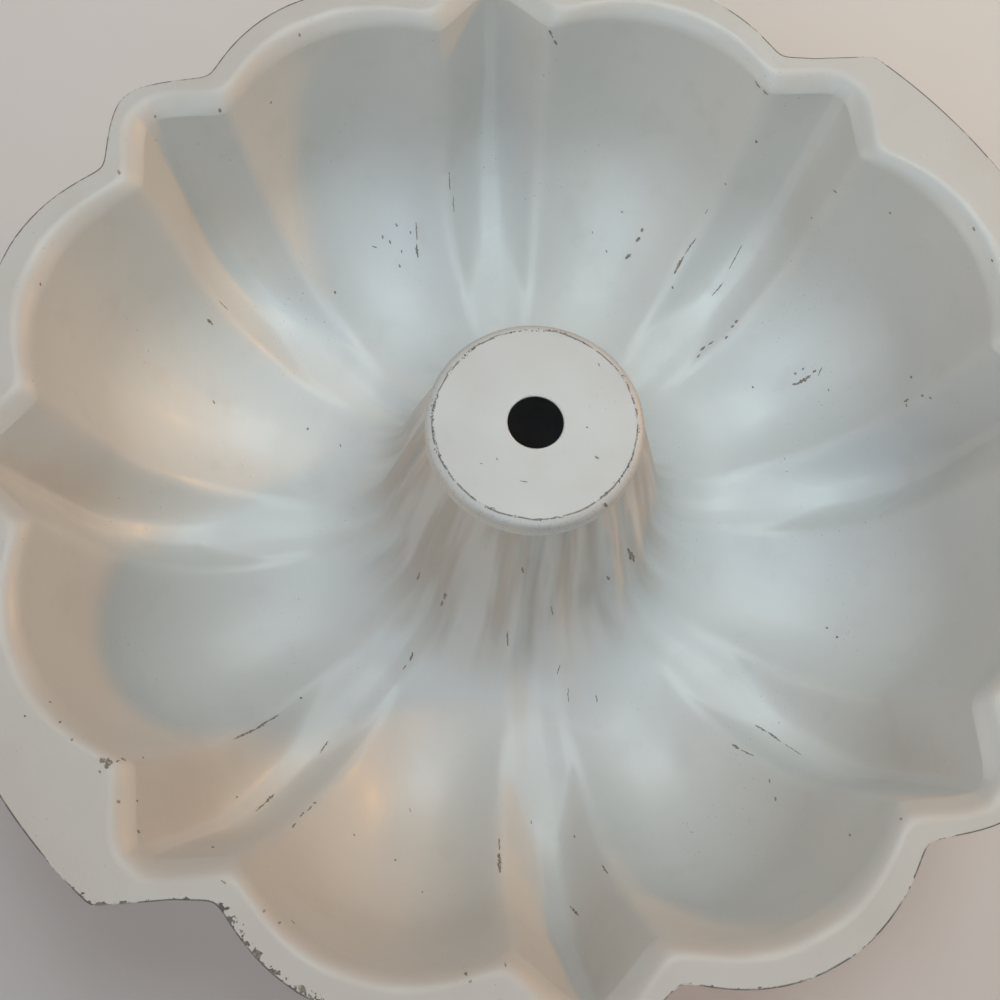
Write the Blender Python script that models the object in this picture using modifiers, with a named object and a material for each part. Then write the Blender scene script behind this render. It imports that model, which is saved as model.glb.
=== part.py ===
"""Fluted tube pan: a lobed sheet-metal bowl, its fluted centre tube and the tube's cap.

Metres, +Z up. The pan stands mouth up on the bottoms of its eight round lobes. The
origin is on the tube's axis, in the plane that the pan stands on, and the two grip
tabs lie along X.
"""

import math

import bmesh
import bpy

COLLECTION = "fluted_tube_pan"

# Sheet, and the clearances between the three pressings
SHEET = 0.0008
SEAM_GAP = 0.0004
CAP_GAP = 0.0003

# Flute pattern: round lobes alternate with narrow pointed vees
LOBES = 8
LOBE_STEPS = 8
VEE_SIDES = (-1, -0.3, 0, 0.3)
VEE_HALF_ANGLE = math.radians(7.7)
VEE_ROUND = 0.06

# Mouth: the wall's top in the middle of a lobe, and the ridges and vees beside it
MOUTH_RADIUS = 0.1218
RIDGE_INSET = 0.0068
VEE_OUTSET = 0.0037

# Depth of the lobes' floor under the rim, and how much higher the ridges and vees lie
DEPTH = 0.0700
RIDGE_RISE = 0.0032
VEE_WALL_RISE = 0.0045
VEE_TUBE_RISE = 0.0010

# Slope of the wall, its bend into the floor, and the straight width of the floor
LOBE_DRAFT = math.radians(13)
LOBE_CORNER = 0.044
LOBE_FLOOR = 0.008
RIDGE_DRAFT = math.radians(17)
RIDGE_CORNER = 0.046
RIDGE_FLOOR = 0.002
VEE_DRAFT = math.radians(16.5)
VEE_CORNER = 0.022
VEE_FLOOR = 0.034

# Lip rolled out of the wall, the flat flange round it, and the two grip tabs
LIP_RADIUS = 0.0055
CREST_ROUND = 0.20
EDGE_VEE_HALF_ANGLE = math.radians(8.5)
EDGE_ROUND = 0.30
LOBE_FLANGE = 0.0052
RIDGE_FLANGE = 0.0044
VEE_FLANGE = 0.0031
TAB_REACH = 0.0073
TAB_SIDE_ANGLE = math.radians(35)

# Cap, pressed over the tube's neck
CAP_RISE = 0.0010
CAP_RADIUS = 0.0256
CAP_CORNER = 0.0022
CAP_SKIRT = 0.0060
CAP_HOLE_RADIUS = 0.0065
CAP_STEPS = 64
CAP_CORNER_STEPS = 4

# Centre tube: its slope, and its flutes at the top against the cap's skirt
LOBE_TUBE_DRAFT = math.radians(12.5)
LOBE_TUBE_SUNK = 0.0006
RIDGE_TUBE_DRAFT = math.radians(15)
RIDGE_TUBE_PROUD = 0.0006
VEE_TUBE_DRAFT = math.radians(14)
VEE_TUBE_SUNK = 0.0009

# Seam: the tube's foot laps under the floor, at a share of the foot's bend
SEAM_SHARE = 0.60
LAP_WIDTH = 0.006
JOGGLE_WIDTH = 0.0014

# Rings of vertices along each stretch of the surface
LIP_RINGS = 3
WALL_RINGS = 2
CORNER_RINGS = 6
FLOOR_RINGS = 1
FOOT_RINGS = 3
LAP_RINGS = 2
BEND_RINGS = 2
TUBE_RINGS = 4

# Stretches of a guide, in order from the rim to the tube's top
LIP_START = -1
WALL_START = 0
CORNER_START = 1
FLOOR_START = 2
FOOT_START = 3
TUBE_START = 4
TUBE_END = 5

SHARP_ANGLE = math.radians(50)
COAT_COLOUR = (0.58, 0.60, 0.60, 1.0)
COAT_ROUGHNESS = 0.35

RIM_HEIGHT = DEPTH + SHEET
SHOULDER_DEPTH = CAP_SKIRT - CAP_RISE + CAP_GAP
NECK_RADIUS = CAP_RADIUS - SHEET - CAP_GAP
NECK_TOP = CAP_RISE - CAP_CORNER
SEAM_PLACE = FOOT_START + SEAM_SHARE


def mix(first, second, share):
    """Point between two points of the radial plane."""
    return tuple(a + (b - a) * share for a, b in zip(first, second))


def unit(radius, height):
    """A direction of the radial plane, with length one."""
    length = math.hypot(radius, height)
    return radius / length, height / length


def crossing(point_a, way_a, point_b, way_b):
    """Where two lines of the radial plane cross, each given by a point and a direction."""
    gap = (point_b[0] - point_a[0], point_b[1] - point_a[1])
    scale = way_a[0] * way_b[1] - way_a[1] * way_b[0]
    along = (gap[0] * way_b[1] - gap[1] * way_b[0]) / scale
    return point_a[0] + way_a[0] * along, point_a[1] + way_a[1] * along


def half_angle(before, corner, after):
    """Half of the angle between the two sides of a corner."""
    way_in = unit(before[0] - corner[0], before[1] - corner[1])
    way_out = unit(after[0] - corner[0], after[1] - corner[1])
    return 0.5 * math.acos(way_in[0] * way_out[0] + way_in[1] * way_out[1])


def bend(before, corner, after, reach):
    """Start, centre and end of the arc that leaves a corner's two sides at this reach."""
    way_in = unit(before[0] - corner[0], before[1] - corner[1])
    way_out = unit(after[0] - corner[0], after[1] - corner[1])
    middle = unit(way_in[0] + way_out[0], way_in[1] + way_out[1])
    away = reach / math.cos(half_angle(before, corner, after))
    start = (corner[0] + way_in[0] * reach, corner[1] + way_in[1] * reach)
    centre = (corner[0] + middle[0] * away, corner[1] + middle[1] * away)
    end = (corner[0] + way_out[0] * reach, corner[1] + way_out[1] * reach)
    return start, centre, end


def around(arc, share):
    """Point at a share of an arc that is given by its start, centre and end."""
    start, centre, end = arc
    first = (start[0] - centre[0], start[1] - centre[1])
    last = (end[0] - centre[0], end[1] - centre[1])
    sweep = math.atan2(
        first[0] * last[1] - first[1] * last[0],
        first[0] * last[0] + first[1] * last[1],
    )
    cos_turn = math.cos(sweep * share)
    sin_turn = math.sin(sweep * share)
    return (
        centre[0] + first[0] * cos_turn - first[1] * sin_turn,
        centre[1] + first[0] * sin_turn + first[1] * cos_turn,
    )


class Guide:
    """A line down the wall, over the floor and up the tube, in the radial plane."""

    def __init__(self, mouth, draft, wall_depth, corner, floor, tube_depth, tube, tube_draft):
        """Radii at the wall's and the tube's top, slopes, bend, floor width and depths."""
        self.draft = draft
        self.rim = (mouth, -LIP_RADIUS * (1 - math.sin(draft)))
        self.top = (tube, -SHOULDER_DEPTH)
        down_wall = (-math.sin(draft), -math.cos(draft))
        down_tube = (math.sin(tube_draft), -math.cos(tube_draft))
        outer = crossing(self.rim, down_wall, (0, -wall_depth), (1, 0))
        inner = crossing(self.top, down_tube, (0, -tube_depth), (1, 0))
        corner_reach = corner / math.tan(half_angle(self.rim, outer, inner))
        self.corner = bend(self.rim, outer, inner, corner_reach)
        foot_reach = math.dist(self.corner[2], inner) - floor
        self.foot = bend(outer, inner, self.top, foot_reach)

    def crest(self):
        """Radius at which the lip's roll meets the flat flange."""
        return self.rim[0] + LIP_RADIUS * math.cos(self.draft)

    def point(self, place):
        """Radius and height at a place; each whole number starts the next stretch."""
        if place < WALL_START:
            return self.lip_point((WALL_START - place) / (WALL_START - LIP_START))
        if place < CORNER_START:
            return mix(self.rim, self.corner[0], place - WALL_START)
        if place < FLOOR_START:
            return around(self.corner, place - CORNER_START)
        if place < FOOT_START:
            return mix(self.corner[2], self.foot[0], place - FLOOR_START)
        if place < TUBE_START:
            return around(self.foot, place - FOOT_START)
        return mix(self.foot[2], self.top, place - TUBE_START)

    def lip_point(self, share):
        """Point on the lip's roll, from the wall at share 0 to the flat flange at share 1."""
        turn = self.draft + (math.pi / 2 - self.draft) * share
        return self.crest() - LIP_RADIUS * math.cos(turn), LIP_RADIUS * (math.sin(turn) - 1)

    def foot_length(self):
        """Length of the bend between the floor and the tube."""
        start, centre, end = self.foot
        chord = math.dist(start, end)
        radius = math.dist(start, centre)
        return 2 * radius * math.asin(chord / 2 / radius)


def make_guides():
    """The ridge, vee and lobe guides, in the order of the weights."""
    ridge_depth = DEPTH - RIDGE_RISE
    ridge = Guide(
        MOUTH_RADIUS - RIDGE_INSET, RIDGE_DRAFT, ridge_depth, RIDGE_CORNER, RIDGE_FLOOR,
        ridge_depth, CAP_RADIUS + RIDGE_TUBE_PROUD, RIDGE_TUBE_DRAFT,
    )
    vee = Guide(
        MOUTH_RADIUS + VEE_OUTSET, VEE_DRAFT, DEPTH - VEE_WALL_RISE, VEE_CORNER, VEE_FLOOR,
        DEPTH - VEE_TUBE_RISE, CAP_RADIUS - VEE_TUBE_SUNK, VEE_TUBE_DRAFT,
    )
    lobe = Guide(
        MOUTH_RADIUS, LOBE_DRAFT, DEPTH, LOBE_CORNER, LOBE_FLOOR,
        DEPTH, CAP_RADIUS - LOBE_TUBE_SUNK, LOBE_TUBE_DRAFT,
    )
    return ridge, vee, lobe


def make_columns():
    """Columns round the pan: the vee's number, the kind of flute and the side, -1 to 1."""
    columns = []
    for number in range(LOBES):
        columns += [(number, "vee", side) for side in VEE_SIDES]
        columns += [(number, "lobe", 2 * step / LOBE_STEPS - 1) for step in range(LOBE_STEPS)]
    return columns


def bearing(column, half_angle):
    """Angle of a column about the tube's axis; a lobe's middle lies on X."""
    number, kind, side = column
    pitch = 2 * math.pi / LOBES
    vee_middle = (number + 0.5) * pitch
    if kind == "vee":
        return vee_middle + side * half_angle
    return vee_middle + pitch / 2 + side * (pitch / 2 - half_angle)


def weights(column, rounding):
    """Shares of the ridge, vee and lobe guides; rounding blunts the vee's tip."""
    kind, side = column[1:]
    if kind == "lobe":
        return side * side, 0, 1 - side * side
    flank = math.sqrt(side * side + rounding * rounding) - rounding
    full_flank = math.sqrt(1 + rounding * rounding) - rounding
    return flank / full_flank, 1 - flank / full_flank, 0


def surface_ring(guides, columns, place):
    """Ring of points on the pan's food side, at one place along the guides."""
    lip_share = max(0, (WALL_START - place) / (WALL_START - LIP_START))
    rounding = VEE_ROUND + (CREST_ROUND - VEE_ROUND) * lip_share
    half_angle = VEE_HALF_ANGLE + (EDGE_VEE_HALF_ANGLE - VEE_HALF_ANGLE) * lip_share
    points = [guide.point(place) for guide in guides]
    ring = []
    for column in columns:
        shares = weights(column, rounding)
        radius = sum(share * point[0] for share, point in zip(shares, points))
        height = sum(share * point[1] for share, point in zip(shares, points))
        angle = bearing(column, half_angle)
        ring.append((radius * math.cos(angle), radius * math.sin(angle), RIM_HEIGHT + height))
    return ring


def tab_radius(angle, reach):
    """Reach of the grip tabs: an arc from vee to vee, then a slanting side."""
    quarter = math.pi / 2
    off_axis = quarter - abs(abs(math.remainder(angle, 2 * math.pi)) - quarter)
    past_corner = off_axis - math.pi / LOBES
    if past_corner < 0:
        return reach
    return reach * math.sin(TAB_SIDE_ANGLE) / math.sin(TAB_SIDE_ANGLE + past_corner)


def edge_ring(guides, columns):
    """The flange's cut edge: lobed, with rounded vees, and a tab at each end of X."""
    flanges = (RIDGE_FLANGE, VEE_FLANGE, LOBE_FLANGE)
    radii = [guide.crest() + flange for guide, flange in zip(guides, flanges)]
    tab_reach = radii[-1] + TAB_REACH
    ring = []
    for column in columns:
        shares = weights(column, EDGE_ROUND)
        lobed = sum(share * radius for share, radius in zip(shares, radii))
        angle = bearing(column, EDGE_VEE_HALF_ANGLE)
        radius = max(lobed, tab_radius(angle, tab_reach))
        ring.append((radius * math.cos(angle), radius * math.sin(angle), RIM_HEIGHT))
    return ring


def neck_ring(columns, height):
    """Round ring of the tube's neck, inside the cap."""
    angles = [bearing(column, VEE_HALF_ANGLE) for column in columns]
    return [
        (NECK_RADIUS * math.cos(angle), NECK_RADIUS * math.sin(angle), RIM_HEIGHT + height)
        for angle in angles
    ]


def places(first, last, rings):
    """Evenly spaced places after the first, up to and with the last."""
    return [first + (last - first) * (step + 1) / rings for step in range(rings)]


def skin(rings):
    """Open surface through closed rings, facing the food side, as a bmesh."""
    surface = bmesh.new()
    grid = [[surface.verts.new(point) for point in ring] for ring in rings]
    for ring, next_ring in zip(grid, grid[1:]):
        for here in range(len(ring)):
            there = (here + 1) % len(ring)
            surface.faces.new((ring[here], ring[there], next_ring[there], next_ring[here]))
    surface.normal_update()
    return surface, grid


def sunk(rings, depths):
    """The rings, each moved away from the food side by its depth."""
    surface, grid = skin(rings)
    moved = [
        [tuple(vertex.co - vertex.normal * depth) for vertex in ring]
        for ring, depth in zip(grid, depths)
    ]
    surface.free()
    return moved


def coating(name):
    """Pale semi-gloss coating over the sheet."""
    material = bpy.data.materials.new(name)
    material.use_nodes = True
    shader = material.node_tree.nodes["Principled BSDF"]
    shader.inputs["Base Color"].default_value = COAT_COLOUR
    shader.inputs["Roughness"].default_value = COAT_ROUGHNESS
    shader.inputs["Metallic"].default_value = 0.0
    return material


def finish(name, mesh, collection):
    """Put a mesh in the collection, shaded smooth, with its coating."""
    mesh.shade_smooth()
    mesh.set_sharp_from_angle(angle=SHARP_ANGLE)
    mesh.materials.append(coating(name + "_coat"))
    piece = bpy.data.objects.new(name, mesh)
    collection.objects.link(piece)
    return piece


def thicken(piece):
    """Give a pressing its sheet thickness, away from the food side."""
    solidify = piece.modifiers.new("sheet", "SOLIDIFY")
    solidify.thickness = SHEET
    solidify.offset = -1
    solidify.use_even_offset = False


def pressing(name, rings, collection):
    """Sheet pressing whose food side runs through the rings."""
    surface = skin(rings)[0]
    mesh = bpy.data.meshes.new(name)
    surface.to_mesh(mesh)
    surface.free()
    thicken(finish(name, mesh, collection))


def make_bowl(guides, columns, collection):
    """Flange, lip, wall and floor, down to the seam round the tube's foot."""
    stations = [LIP_START]
    stations += places(LIP_START, WALL_START, LIP_RINGS)
    stations += places(WALL_START, CORNER_START, WALL_RINGS)
    stations += places(CORNER_START, FLOOR_START, CORNER_RINGS)
    stations += places(FLOOR_START, FOOT_START, FLOOR_RINGS)
    stations += places(FOOT_START, SEAM_PLACE, FOOT_RINGS)
    rings = [edge_ring(guides, columns)]
    rings += [surface_ring(guides, columns, place) for place in stations]
    pressing("fluted_bowl", rings, collection)


def make_tube(guides, columns, collection):
    """Lapped foot, fluted tube and round neck."""
    foot_length = guides[0].foot_length()
    lap_start = SEAM_PLACE - LAP_WIDTH / foot_length
    joggle_end = SEAM_PLACE + JOGGLE_WIDTH / foot_length
    lap = [lap_start] + places(lap_start, SEAM_PLACE, LAP_RINGS)
    stations = lap + [joggle_end]
    stations += places(joggle_end, TUBE_START, BEND_RINGS)
    stations += places(TUBE_START, TUBE_END, TUBE_RINGS)
    rings = [surface_ring(guides, columns, place) for place in stations]
    depths = [SHEET + SEAM_GAP if place <= SEAM_PLACE else 0 for place in stations]
    rings = sunk(rings, depths)
    rings += [neck_ring(columns, -SHOULDER_DEPTH), neck_ring(columns, NECK_TOP)]
    pressing("centre_tube", rings, collection)


def make_cap(collection):
    """Flat round cap with a rolled corner, a short skirt and a hole in its middle."""
    corner_centre = (CAP_RADIUS - CAP_CORNER, CAP_RISE - CAP_CORNER)
    profile = [(CAP_HOLE_RADIUS, CAP_RISE)]
    for step in range(CAP_CORNER_STEPS + 1):
        turn = math.pi / 2 * step / CAP_CORNER_STEPS
        profile.append((
            corner_centre[0] + CAP_CORNER * math.sin(turn),
            corner_centre[1] + CAP_CORNER * math.cos(turn),
        ))
    profile.append((CAP_RADIUS, CAP_RISE - CAP_SKIRT))
    mesh = bpy.data.meshes.new("tube_cap")
    vertices = [(radius, 0, RIM_HEIGHT + height) for radius, height in profile]
    edges = [(start, start + 1) for start in range(len(profile) - 1)]
    mesh.from_pydata(vertices, edges, [])
    piece = finish("tube_cap", mesh, collection)
    screw = piece.modifiers.new("turn", "SCREW")
    screw.axis = "Z"
    screw.angle = 2 * math.pi
    screw.steps = CAP_STEPS
    screw.render_steps = CAP_STEPS
    screw.use_merge_vertices = True
    screw.merge_threshold = 0.00001
    screw.use_smooth_shade = True
    thicken(piece)


def main():
    """Clear the scene and build the pan's three pieces."""
    for old in list(bpy.data.objects):
        bpy.data.objects.remove(old, do_unlink=True)
    collection = bpy.data.collections.new(COLLECTION)
    bpy.context.scene.collection.children.link(collection)
    guides = make_guides()
    columns = make_columns()
    make_bowl(guides, columns, collection)
    make_tube(guides, columns, collection)
    make_cap(collection)


main()
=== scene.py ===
"""Looks of the fluted tube pan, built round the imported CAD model. Metres, +Z up."""

import math

import bpy
import numpy as np
from mathutils import Matrix, Vector, noise
from mathutils.bvhtree import BVHTree


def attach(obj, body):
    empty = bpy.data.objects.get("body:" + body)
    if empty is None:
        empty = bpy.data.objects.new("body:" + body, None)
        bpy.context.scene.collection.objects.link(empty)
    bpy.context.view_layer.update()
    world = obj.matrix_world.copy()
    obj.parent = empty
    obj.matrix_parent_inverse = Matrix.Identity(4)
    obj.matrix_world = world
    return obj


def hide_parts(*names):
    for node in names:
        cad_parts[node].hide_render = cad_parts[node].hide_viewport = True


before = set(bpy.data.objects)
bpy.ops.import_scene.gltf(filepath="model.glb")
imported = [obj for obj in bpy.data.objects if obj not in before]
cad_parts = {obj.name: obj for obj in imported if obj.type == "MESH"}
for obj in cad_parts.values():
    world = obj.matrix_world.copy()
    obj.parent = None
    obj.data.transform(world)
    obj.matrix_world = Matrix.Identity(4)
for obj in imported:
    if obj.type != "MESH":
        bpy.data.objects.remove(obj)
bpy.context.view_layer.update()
BODY = "root"

# Camera, fitted to the photo
# The photo's side is in pixels, and the sensor's and the focal length are in millimetres.
PHOTO_SIZE = 1000
SENSOR = 36
LENS = 45.35
CAMERA_PLACE = Matrix((
    (0.88820, 0.41624, -0.19454, -0.07132),
    (-0.45659, 0.84691, -0.27254, -0.09064),
    (0.05131, 0.33089, 0.94227, 0.33910),
    (0.0, 0.0, 0.0, 1.0),
))

# Sheet, and the clearances between the three pressings
SHEET = 0.0008
SEAM_GAP = 0.0004
CAP_GAP = 0.0003

# Flute pattern: round lobes alternate with narrow pointed vees, with ridges between them
# The sizes are those of the CAD source, but for VEE_CORNER, VEE_FLOOR, TAB_SIDE_ANGLE, the
# lip's roll, the tube's lap and the roundings of ridges, tips and the cap's hole.
LOBES = 8
PITCH = 2 * math.pi / LOBES
VEE_HALF_ANGLE = math.radians(7.7)
EDGE_VEE_HALF_ANGLE = math.radians(8.5)

# Mouth, and the depths of the floor below the rim
MOUTH_RADIUS = 0.1218
RIDGE_INSET = 0.0068
VEE_OUTSET = 0.0037
DEPTH = 0.0700
RIDGE_RISE = 0.0032
VEE_WALL_RISE = 0.0045
VEE_TUBE_RISE = 0.0010

# Slope of the wall, its bend into the floor, and the straight width of the floor
LOBE_DRAFT = math.radians(13)
LOBE_CORNER = 0.044
LOBE_FLOOR = 0.008
RIDGE_DRAFT = math.radians(17)
RIDGE_CORNER = 0.046
RIDGE_FLOOR = 0.002
VEE_DRAFT = math.radians(16.5)
VEE_CORNER = 0.032
VEE_FLOOR = 0.0265

# Lip, the flat flange round it, the roundings of the cut edge, and the two grip tabs
LIP_RADIUS = 0.0055
LIP_FLATNESS = 0.15
LIP_LEAN = 0.45
LIP_STEPS = 97
LOBE_FLANGE = 0.0052
RIDGE_FLANGE = 0.0044
VEE_FLANGE = 0.0031
EDGE_ROUND = 0.30
EDGE_RIDGE_ROUND = 0.28
TAB_REACH = 0.0073
TAB_SIDE_ANGLE = math.radians(45)
TAB_SIDE_START = -0.5
TAB_BLEND = 0.004 ** 2 / 20

# Cap: ring next to each bend, edge of the skirt, rings on the top, and the hole's edge
CAP_RADIUS = 0.0256
CAP_RISE = 0.0010
CAP_SKIRT = 0.0060
CAP_CORNER = 0.0022
CAP_HOLE_RADIUS = 0.0065
CAP_COLUMN_ANGLE = 2.5
CAP_BEND_RING = 0.0002
CAP_SKIRT_RING = 0.0004
CAP_TOP_RINGS = (0.012, 0.006, 0.0002)
CAP_CORNER_RINGS = 9
CAP_HOLE_RINGS = 4
HOLE_ROUND = 0.0003

# Centre tube: its slope, and its flutes at the top against the cap's skirt
LOBE_TUBE_DRAFT = math.radians(12.5)
LOBE_TUBE_SUNK = 0.0006
RIDGE_TUBE_DRAFT = math.radians(15)
RIDGE_TUBE_PROUD = 0.0006
VEE_TUBE_DRAFT = math.radians(14)
VEE_TUBE_SUNK = 0.0009
# Less than SKIRT_ZONE outside the cap, the tube keeps inside a limit that starts
# SKIRT_CLEARANCE inside the skirt and widens by SKIRT_WIDENING in one stretch down.
SKIRT_ZONE = 0.003
SKIRT_CLEARANCE = 0.0001
SKIRT_WIDENING = 0.012

# Stretches of a guide, in order from the flange to the tube's top
# Each starts at a whole number. The seam and the neck's close rings lie in between.
LIP_START = -1
WALL_START = 0
CORNER_START = 1
FLOOR_START = 2
FOOT_START = 3
TUBE_START = 4
TUBE_END = 5
SEAM_PLACE = 3.6
NECK_START = 4.9

# Rings of vertices along each stretch, and those of the tube's lap under the floor
# LAP_STEP keeps the backs of the two rings at the seam apart.
FLANGE_RINGS = 6
LIP_RINGS = 16
WALL_RINGS = 8
CORNER_RINGS = 24
FLOOR_RINGS = 4
FOOT_RINGS = 10
JOIN_RINGS = 6
TUBE_RINGS = 12
NECK_RINGS = 4
LAP_RINGS = 3
LAP_STEP = 0.00005

# Roundings of tips and ridges down a guide, and the share of its height that a ridge keeps
PLACES = (-1, 0, 0.6, 1.3, 2, 3, 4, 5)
TIP_ROUNDS = (0.60, 0.16, 0.10, 0.40, 0.60, 0.50, 0.25, 0.20)
RIDGE_ROUNDS = (0.60, 0.46, 0.50, 0.65, 0.80, 0.75, 0.45, 0.28)
RIDGE_FULLNESS = (1, 1, 1, 0.96, 0.82, 0.70, 0.85, 1)

# Columns of vertices from a lobe's middle to a vee's tip
# The close ones reach this many degrees to the two sides of a ridge and from a tip.
BEFORE_RIDGE = 2.4
PAST_RIDGE = 2
BEFORE_TIP = 1
COLUMN_STEPS = (10, 12, 8, 4)

RIM_HEIGHT = DEPTH + SHEET
SHOULDER_DEPTH = CAP_SKIRT - CAP_RISE + CAP_GAP
NECK_RADIUS = CAP_RADIUS - SHEET - CAP_GAP
NECK_TOP = CAP_RISE - CAP_CORNER


def unit(vector):
    """The vector with length one."""
    return vector / np.linalg.norm(vector)


def crossing(point_a, way_a, point_b, way_b):
    """Where two lines of the radial plane cross."""
    along = np.linalg.solve(np.column_stack((way_a, -way_b)), point_b - point_a)[0]
    return point_a + way_a * along


def bend(before, corner, after, reach):
    """Start, centre and end of the arc that leaves a corner's two sides at this reach."""
    way_in = unit(before - corner)
    way_out = unit(after - corner)
    half = 0.5 * math.acos(way_in @ way_out)
    centre = corner + unit(way_in + way_out) * reach / math.cos(half)
    return corner + way_in * reach, centre, corner + way_out * reach


def around(arc, share):
    """Point at a share of an arc."""
    start, centre, end = arc
    first = start - centre
    last = end - centre
    sweep = math.atan2(first[0] * last[1] - first[1] * last[0], first @ last) * share
    turned = (
        first[0] * math.cos(sweep) - first[1] * math.sin(sweep),
        first[0] * math.sin(sweep) + first[1] * math.cos(sweep),
    )
    return centre + turned


class Guide:
    """A line down the wall, over the floor and up the tube, in the radial plane."""

    def __init__(self, mouth, draft, wall_depth, corner, floor, tube_depth, tube, tube_draft):
        self.draft = draft
        self.rim = np.array((mouth, -LIP_RADIUS * (1 - math.sin(draft))))
        self.top = np.array((tube, -SHOULDER_DEPTH))
        down_wall = np.array((-math.sin(draft), -math.cos(draft)))
        down_tube = np.array((math.sin(tube_draft), -math.cos(tube_draft)))
        level = np.array((1.0, 0.0))
        outer = crossing(self.rim, down_wall, np.array((0.0, -wall_depth)), level)
        inner = crossing(self.top, down_tube, np.array((0.0, -tube_depth)), level)
        half = 0.5 * math.acos(unit(self.rim - outer) @ unit(inner - outer))
        self.corner = bend(self.rim, outer, inner, corner / math.tan(half))
        foot_reach = np.linalg.norm(self.corner[2] - inner) - floor
        self.foot = bend(outer, inner, self.top, foot_reach)
        self.lip = self.roll()

    def roll(self):
        """Shares, runs and rises of the lip's roll, soft at the wall and firm at the flange."""
        shares = np.linspace(0, 1, LIP_STEPS)
        eased = shares + LIP_FLATNESS * np.sin(2 * math.pi * shares) / (2 * math.pi)
        eased -= LIP_LEAN * shares * (1 - shares)
        turn = self.draft + (math.pi / 2 - self.draft) * eased
        run = np.concatenate(((0,), np.cumsum(np.sin(turn[1:]) + np.sin(turn[:-1]))))
        rise = np.concatenate(((0,), np.cumsum(np.cos(turn[1:]) + np.cos(turn[:-1]))))
        run *= LIP_RADIUS * math.cos(self.draft) / run[-1]
        rise *= LIP_RADIUS * (1 - math.sin(self.draft)) / rise[-1]
        return shares, run, rise

    def crest(self):
        """Radius at which the lip's roll meets the flat flange."""
        return self.rim[0] + LIP_RADIUS * math.cos(self.draft)

    def point(self, place):
        """Radius, and height over the rim, at a place along the guide."""
        if place < WALL_START:
            shares, run, rise = self.lip
            return self.rim + (np.interp(-place, shares, run), np.interp(-place, shares, rise))
        if place < CORNER_START:
            return self.rim + (self.corner[0] - self.rim) * (place - WALL_START)
        if place < FLOOR_START:
            return around(self.corner, place - CORNER_START)
        if place < FOOT_START:
            return self.corner[2] + (self.foot[0] - self.corner[2]) * (place - FLOOR_START)
        if place < TUBE_START:
            return around(self.foot, place - FOOT_START)
        return self.foot[2] + (self.top - self.foot[2]) * (place - TUBE_START)


RIDGE = Guide(
    MOUTH_RADIUS - RIDGE_INSET, RIDGE_DRAFT, DEPTH - RIDGE_RISE, RIDGE_CORNER, RIDGE_FLOOR,
    DEPTH - RIDGE_RISE, CAP_RADIUS + RIDGE_TUBE_PROUD, RIDGE_TUBE_DRAFT,
)
VEE = Guide(
    MOUTH_RADIUS + VEE_OUTSET, VEE_DRAFT, DEPTH - VEE_WALL_RISE, VEE_CORNER, VEE_FLOOR,
    DEPTH - VEE_TUBE_RISE, CAP_RADIUS - VEE_TUBE_SUNK, VEE_TUBE_DRAFT,
)
LOBE = Guide(
    MOUTH_RADIUS, LOBE_DRAFT, DEPTH, LOBE_CORNER, LOBE_FLOOR,
    DEPTH, CAP_RADIUS - LOBE_TUBE_SUNK, LOBE_TUBE_DRAFT,
)


def spread(first, last, steps):
    """Evenly spaced values from the first up to, but without, the last."""
    return [first + (last - first) * step / steps for step in range(steps)]


def make_bearings():
    """Angles of the columns, closer together at the ridges and in the vees' tips."""
    ridge = math.degrees(PITCH / 2 - VEE_HALF_ANGLE)
    tip = math.degrees(PITCH / 2)
    ends = (0, ridge - BEFORE_RIDGE, ridge + PAST_RIDGE, tip - BEFORE_TIP, tip)
    half = []
    for first, last, steps in zip(ends, ends[1:], COLUMN_STEPS):
        half += spread(first, last, steps)
    sector = half + [2 * tip - angle for angle in [tip] + half[:0:-1]]
    turns = [number * math.degrees(PITCH) for number in range(LOBES)]
    return np.radians([turn + angle for turn in turns for angle in sector])


def shares_at(angles, half_angle, tip_round, ridge_round, fullness=1.0):
    """Shares of the ridge, vee and lobe guides, with blunted ridges and tips."""
    off_lobe = np.abs(np.remainder(angles + PITCH / 2, PITCH) - PITCH / 2)
    ridge = PITCH / 2 - half_angle
    lobe_side = (off_lobe / ridge) ** 2
    vee_side = (PITCH / 2 - off_lobe) / half_angle
    full = math.sqrt(1 + tip_round ** 2) - tip_round
    flank = (np.sqrt(vee_side ** 2 + tip_round ** 2) - tip_round) / full
    gap = lobe_side - flank
    crest = (lobe_side + flank - np.sqrt(gap ** 2 + ridge_round ** 2)) / 2
    crest = fullness * np.clip(crest / (1 - ridge_round / 2), 0, 1)
    in_vee = np.clip(0.5 + gap / (2 * ridge_round), 0, 1)
    in_vee = in_vee * in_vee * (3 - 2 * in_vee)
    return crest, (1 - crest) * in_vee, (1 - crest) * (1 - in_vee)


def ring_at(angles, radius, height):
    """Ring of points at these angles, with one radius and height or one for each."""
    return np.column_stack((
        radius * np.cos(angles), radius * np.sin(angles), height + np.zeros(len(angles)),
    ))


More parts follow.
